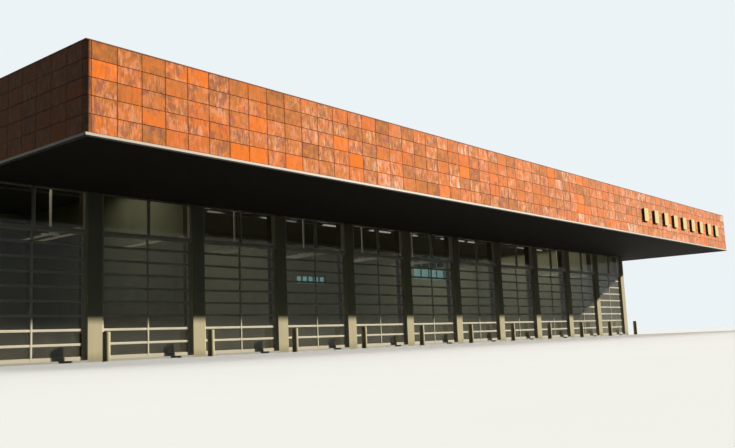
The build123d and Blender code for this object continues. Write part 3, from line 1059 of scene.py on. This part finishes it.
class STATION_OT_columns(Operator):
    """Paint the columns and set the guard posts"""

    bl_idname = "station.columns"
    bl_label = "Columns and posts"

    def execute(self, context):
        paint = column_paint(context.scene.station_colours)
        guard_posts(context.scene.station_trim, paint)
        paint_nodes(paint, "front_columns")
        return {"FINISHED"}


class STATION_OT_walls(Operator):
    """Render the walls and float the hall floor"""

    bl_idname = "station.walls"
    bl_label = "Walls and floor"

    def execute(self, context):
        colours = context.scene.station_colours
        paint_nodes(wall_render(colours), "left_wall", "right_wall", "back_wall", "partition_wall")
        paint_nodes(concrete_floor(colours), "floor_slab")
        return {"FINISHED"}


class STATION_OT_hall(Operator):
    """Finish the hall's ceiling, lights, door tracks and back windows"""

    bl_idname = "station.hall"
    bl_label = "Hall"

    def execute(self, context):
        colours = context.scene.station_colours
        paint_nodes(hall_lining(colours), "hall_ceiling")
        paint_nodes(plain_paint("track_metal", colours.track, 0.45, 0.2, 120.0), "door_tracks")
        frames = plain_paint("window_metal", colours.window, 0.4, 0.16, 90.0)
        paint_nodes(frames, "back_window_frames")
        return {"FINISHED"}


class STATION_OT_roof(Operator):
    """Cover the roof and finish its steel and coping"""

    bl_idname = "station.roof"
    bl_label = "Roof"

    def execute(self, context):
        colours = context.scene.station_colours
        paint_nodes(roof_membrane(colours), "roof_deck")
        paint_nodes(plain_paint("beam_paint", colours.beam, 0.6, 0.3), "roof_beams")
        cap = plain_paint("coping_metal", colours.coping, 0.7, 0.5, 30.0)
        paint_nodes(cap, "parapet_coping")
        return {"FINISHED"}


# Stage, light and camera

CAMERA_PLACE = (-20.43, -15.389, 0.131)
CAMERA_HEADING, CAMERA_PITCH, CAMERA_ROLL = 50.541, 8.065, -2.501
CAMERA_FOCUS_PIXELS = 837.6
CAMERA_REACH = 1000.0
PHOTO_WIDTH = 735
SENSOR_WIDTH = 36.0
# Suns: direction, strength, angle across in degrees, and colour
SUNS = {
    "key": ((-1.65, 1.0, -0.663), 6.0, 1.2, (1.0, 0.97, 0.91)),
    "fill": ((-0.75, -1.0, -1.1), 2.1, 35.0, (1.0, 1.0, 1.0)),
}
SKY_STRENGTH = 0.09
SKY_COLOUR = (0.62, 0.88, 1.0)
FLOOR_REACH = 400.0
# Soft lamps under the hall ceiling: left, right, front and back end, and power for a square metre
HALL_LAMPS = (
    (-13.6, -9.6, -0.8, 1.0, 3.3),
    (-9.1, -0.5, -0.3, 4.8, 1.7),
    (-0.5, 6.5, -0.3, 4.8, 0.5),
    (6.5, 12.1, -0.3, 4.8, 3.1),
)
HALL_LAMP_COLOUR = (1.0, 0.98, 0.9)
HALL_LAMP_DROP = 0.05


def camera_matrix():
    """Turns the heading from +Y, the pitch above level and the roll into a camera's matrix."""
    heading, pitch, roll = (math.radians(a) for a in (CAMERA_HEADING, CAMERA_PITCH, CAMERA_ROLL))
    level = Vector((math.cos(heading), -math.sin(heading), 0.0))
    forward = Vector((math.sin(heading), math.cos(heading), 0.0))
    ahead = forward * math.cos(pitch) + Vector((0.0, 0.0, math.sin(pitch)))
    above = level.cross(ahead)
    right = level * math.cos(roll) + above * math.sin(roll)
    up = above * math.cos(roll) - level * math.sin(roll)
    matrix = Matrix((right, up, -ahead)).transposed().to_4x4()
    matrix.translation = CAMERA_PLACE
    return matrix


def add_camera():
    """The photograph's viewpoint."""
    lens = bpy.data.cameras.new("photo_view")
    lens.sensor_width = SENSOR_WIDTH
    lens.lens = CAMERA_FOCUS_PIXELS / PHOTO_WIDTH * SENSOR_WIDTH
    lens.clip_end = CAMERA_REACH
    camera = linked("photo_view", lens)
    camera.matrix_world = camera_matrix()
    bpy.context.scene.camera = camera


def add_sun(name, direction, strength, angle, colour):
    """A sun that shines along a direction. The wider it looks, the softer its shadows are."""
    light = bpy.data.lights.new(name, "SUN")
    light.energy, light.angle, light.color = strength, math.radians(angle), colour
    linked(name, light).rotation_euler = Vector(direction).to_track_quat("-Z", "Y").to_euler()


def add_hall_lamp(left, right, front, back, power):
    """A soft level lamp under a part of the hall's ceiling, not seen itself."""
    light = bpy.data.lights.new("hall_lamp", "AREA")
    light.shape = "RECTANGLE"
    light.size, light.size_y = right - left, back - front
    light.energy = power * light.size * light.size_y
    light.color = HALL_LAMP_COLOUR
    lamp = linked("hall_lamp", light)
    lamp.location = ((left + right) / 2, (front + back) / 2, CEILING_LOW.z - HALL_LAMP_DROP)
    lamp.visible_camera = lamp.visible_glossy = False


def studio_world(colours):
    """An even sky that lights softly, and a pale backdrop wherever it is seen or mirrored."""
    sky = Finish("studio", "worlds")
    light = {"Color": SKY_COLOUR, "Strength": SKY_STRENGTH}
    light = sky.node("Background", inputs=light)
    backdrop = sky.node("Background", inputs={"Color": colours.backdrop})
    both = sky.node("MixShader", inputs={0: sky.seen(), 1: light, 2: backdrop})
    sky.node("OutputWorld", inputs={"Surface": both})
    bpy.context.scene.world = sky.owner


def studio_floor(colours):
    """A level square far larger than the building."""
    finish = Finish("studio_floor")
    clouds = finish.noise(0.6, 3.0, 0.5)
    paint = finish.mix(finish.seen(), colours.floor_bounce, colours.floor)
    paint = finish.shade(paint, 0.98 + clouds.swing(0.06))
    corners = np.array([[-1, -1, 0], [1, -1, 0], [1, 1, 0], [-1, 1, 0]]) * FLOOR_REACH
    mesh = bpy.data.meshes.new("studio_floor")
    mesh.from_pydata(corners.tolist(), [], [(0, 1, 2, 3)])
    mesh.materials.append(finish.surface(Base_Color=paint, Roughness=0.85, Specular_IOR_Level=0.0))
    linked("studio_floor", mesh)


class STATION_OT_stage(Operator):
    """Set the camera, the lights, the floor and the backdrop"""

    bl_idname = "station.stage"
    bl_label = "Stage"

    def execute(self, context):
        add_camera()
        for name, settings in SUNS.items():
            add_sun(name, *settings)
        for settings in HALL_LAMPS:
            add_hall_lamp(*settings)
        studio_world(context.scene.station_colours)
        studio_floor(context.scene.station_colours)
        context.scene.view_settings.view_transform = "Standard"
        return {"FINISHED"}


class STATION_PT_panel(Panel):
    """Lists the station's pieces and settings in the sidebar"""

    bl_idname = "STATION_PT_panel"
    bl_label = "Station"
    bl_space_type = "VIEW_3D"
    bl_region_type = "UI"
    bl_category = "Station"

    def draw(self, context):
        for step in STEPS:
            self.layout.operator(step.bl_idname)
        for group in GROUPS:
            box = self.layout.box()
            settings = getattr(context.scene, group)
            for name in GROUPS[group].__annotations__:
                box.prop(settings, name)


STEPS = (
    STATION_OT_stage,
    STATION_OT_cladding,
    STATION_OT_sign,
    STATION_OT_soffit,
    STATION_OT_doors,
    STATION_OT_glass,
    STATION_OT_columns,
    STATION_OT_walls,
    STATION_OT_hall,
    STATION_OT_roof,
)
GROUPS = {
    "station_cladding": StationCladding,
    "station_doors": StationDoors,
    "station_trim": StationTrim,
    "station_colours": StationColours,
}


def register():
    for group in (*GROUPS.values(), *STEPS, STATION_PT_panel):
        bpy.utils.register_class(group)
    for name, group in GROUPS.items():
        setattr(bpy.types.Scene, name, bpy.props.PointerProperty(type=group))


def unregister():
    for name in GROUPS:
        delattr(bpy.types.Scene, name)
    for group in reversed((*GROUPS.values(), *STEPS, STATION_PT_panel)):
        bpy.utils.unregister_class(group)


def main():
    register()
    for step in STEPS:
        group, name = step.bl_idname.split(".")
        getattr(getattr(bpy.ops, group), name)()


if __name__ == "__main__":
    main()
